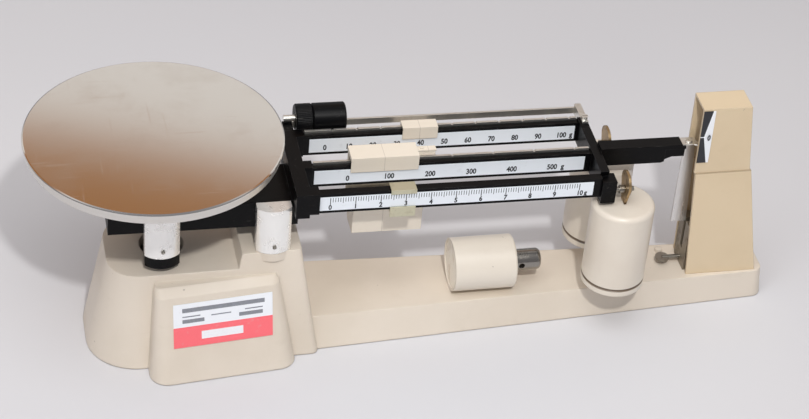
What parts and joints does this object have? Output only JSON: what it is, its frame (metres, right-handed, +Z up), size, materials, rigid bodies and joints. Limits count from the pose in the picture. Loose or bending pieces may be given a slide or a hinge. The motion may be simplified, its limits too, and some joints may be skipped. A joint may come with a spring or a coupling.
{
  "type": "triple beam balance",
  "caption": "Mechanical laboratory balance with a round pan, parallel graduated beams with sliding poises, hung counterweights and a damped pointer tower.",
  "frame": {"origin": "on the table under the middle of the pan", "axes": "+X along the beams from the pan to the pointer, +Y to the back, +Z up"},
  "size_m": [0.4677, 0.1524, 0.1453],
  "materials": {
    "base_paint": "satin paint",
    "tower_plastic": "satin moulded",
    "weight_paint": "satin paint",
    "end_metal": "turned",
    "chrome": "polished",
    "poise_paint": "satin paint",
    "beam_black": "satin paint",
    "drum_black": "satin",
    "plate_print": "printed",
    "label_print": "printed",
    "rail_metal": "satin",
    "cover_nickel": "nickel plated, blotched",
    "screw_steel": "machined",
    "knife_steel": "hardened, ground",
    "bearing_stone": "polished",
    "brass": "worn",
    "pan_steel": "polished, scratched",
    "rider_metal": "worn",
    "magnet": "painted"
  },
  "bodies": {
    "base": {"base": "base_paint", "tower": "tower_plastic", "label_plate": "label_print", "index_plate": "plate_print", "damper_magnets": "magnet", "thumb_screw": "screw_steel", "check_pivot": "rail_metal", "fulcrum_bearing_front": "bearing_stone", "fulcrum_bearing_rear": "bearing_stone", "fulcrum_cover_front": "cover_nickel", "fulcrum_cover_rear": "cover_nickel", "fulcrum_cover_screw_front": "screw_steel", "fulcrum_cover_screw_rear": "screw_steel"},
    "beam": {"beam_arm": "beam_black", "beam_front": "beam_black", "beam_middle": "beam_black", "beam_rear": "beam_black", "cross_member": "beam_black", "nose": "beam_black", "scale_plate_front": "plate_print", "scale_plate_middle": "plate_print", "scale_plate_rear": "plate_print", "notched_rail_middle": "rail_metal", "notched_rail_rear": "rail_metal", "pointer_plate": "rail_metal", "pointer_screw": "rail_metal", "damper_vane": "rail_metal", "fulcrum_knife": "knife_steel", "pan_knife_front": "knife_steel", "pan_knife_rear": "knife_steel", "hanger_pin_front": "screw_steel", "hanger_pin_rear": "screw_steel", "tare_bar": "rail_metal", "tare_bracket": "rail_metal", "tare_bracket_screw": "rail_metal"},
    "carrier": {"pan_carrier": "beam_black", "carrier_stem": "beam_black", "pan_cover_front": "cover_nickel", "pan_cover_rear": "cover_nickel", "pan_cover_screw_front": "screw_steel", "pan_cover_screw_rear": "screw_steel"},
    "pan": {"pan": "pan_steel"},
    "check_link": {"check_link": "rail_metal"},
    "poise_500": {"poise_500_cap": "poise_paint", "poise_500_tongue": "poise_paint", "poise_500_weight": "poise_paint"},
    "poise_100": {"poise_100_cap": "poise_paint", "poise_100_weight": "poise_paint"},
    "rider": {"rider": "rider_metal"},
    "tare_weight": {"tare_ring": "drum_black", "tare_drum": "drum_black", "tare_stud": "rail_metal"},
    "weight_front": {"hanger_plate_front": "brass", "hung_weight_front": "weight_paint"},
    "weight_rear": {"hanger_plate_rear": "brass", "hung_weight_rear": "weight_paint"},
    "spare": {"spare_weight": "weight_paint", "spare_end_cap": "end_metal", "spare_stem": "chrome"}
  },
  "joints": [
    {"name": "beam_swing", "type": "hinge", "parent": "base", "child": "beam", "pos_m": [0.0686, 0, 0.094], "axis": [0, 1, 0], "range_deg": [-3, 0]},
    {"name": "carrier_level", "type": "hinge", "parent": "beam", "child": "carrier", "pos_m": [0.00232, 0, 0.09616], "axis": [0, 1, 0], "range_deg": [0, 3]},
    {"name": "check_link_swing", "type": "hinge", "parent": "base", "child": "check_link", "pos_m": [0.0686, 0, 0.03], "axis": [0, 1, 0], "range_deg": [-3, 0]},
    {"name": "pan_lift_off", "type": "slide", "parent": "carrier", "child": "pan", "axis": [0, 0, 1], "range_m": [0, 0.1]},
    {"name": "poise_500_slide", "type": "slide", "parent": "beam", "child": "poise_500", "axis": [0.9999, 0, -0.0115], "range_m": [-0.0086, 0.093]},
    {"name": "poise_100_slide", "type": "slide", "parent": "beam", "child": "poise_100", "axis": [0.9999, 0, -0.0115], "range_m": [-0.053, 0.0865]},
    {"name": "rider_slide", "type": "slide", "parent": "beam", "child": "rider", "axis": [0.9999, 0, -0.0115], "range_m": [-0.041, 0.113]},
    {"name": "tare_slide", "type": "slide", "parent": "beam", "child": "tare_weight", "axis": [0.9999, 0, -0.0115], "range_m": [0, 0.14]},
    {"name": "weight_front_swing", "type": "hinge", "parent": "beam", "child": "weight_front", "pos_m": [0.28311, -0.026, 0.10204], "axis": [1, 0, 0], "range_deg": [-20, 2.5]},
    {"name": "weight_rear_swing", "type": "hinge", "parent": "beam", "child": "weight_rear", "pos_m": [0.28311, 0.0204, 0.10204], "axis": [1, 0, 0], "range_deg": [-2.5, 20]},
    {"name": "spare_lift_off", "type": "slide", "parent": "base", "child": "spare", "axis": [0, -0.7071, 0.7071], "range_m": [0, 0.15]}
  ],
  "couplings": [
    {"joint": "carrier_level", "follows": "beam_swing", "ratio": -1},
    {"joint": "check_link_swing", "follows": "beam_swing", "ratio": 1}
  ]
}
